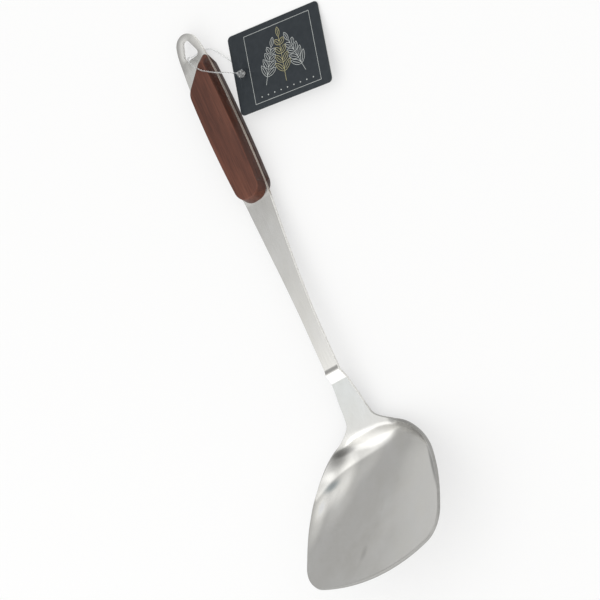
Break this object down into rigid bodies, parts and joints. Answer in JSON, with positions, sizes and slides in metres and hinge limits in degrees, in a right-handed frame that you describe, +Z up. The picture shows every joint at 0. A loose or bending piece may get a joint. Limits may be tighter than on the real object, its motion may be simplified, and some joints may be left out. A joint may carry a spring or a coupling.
{
  "type": "cooking spatula",
  "caption": "Wok turner with a scooped steel blade, a stepped strap handle with wooden scales, a hanging hole, and a card tag on a nylon loop.",
  "frame": {"origin": "on the surface that the turner lies on, under the middle of its length and width", "axes": "+Y along the handle towards the hanging hole, +Z up out of the hollow of the blade, +X to the right seen from above with the hanging hole at the top"},
  "size_m": [0.1528, 0.3664, 0.0627],
  "materials": {
    "satin_steel": "satin, softly polished blade",
    "handle_wood": "oiled reddish brown hardwood",
    "pin_metal": "plain",
    "tag_card": "matt coated charcoal card",
    "clear_nylon": "translucent"
  },
  "bodies": {
    "turner": {"turner_body": "satin_steel", "front_handle_scale": "handle_wood", "rear_handle_scale": "handle_wood", "scale_pins": "pin_metal"},
    "loop": {"tag_loop": "clear_nylon", "loop_lock": "clear_nylon"},
    "tag": {"hang_tag": "tag_card"}
  },
  "joints": [
    {"name": "loop_swing", "type": "hinge", "parent": "turner", "child": "loop", "pos_m": [-0.0027, 0.16815, 0.0077], "axis": [0, 0, 1], "range_deg": [0, 150]},
    {"name": "tag_turn", "type": "hinge", "parent": "loop", "child": "tag", "pos_m": [0.0288, 0.13955, 0.0048], "axis": [0, 0, 1], "range_deg": [-6, 12]}
  ]
}
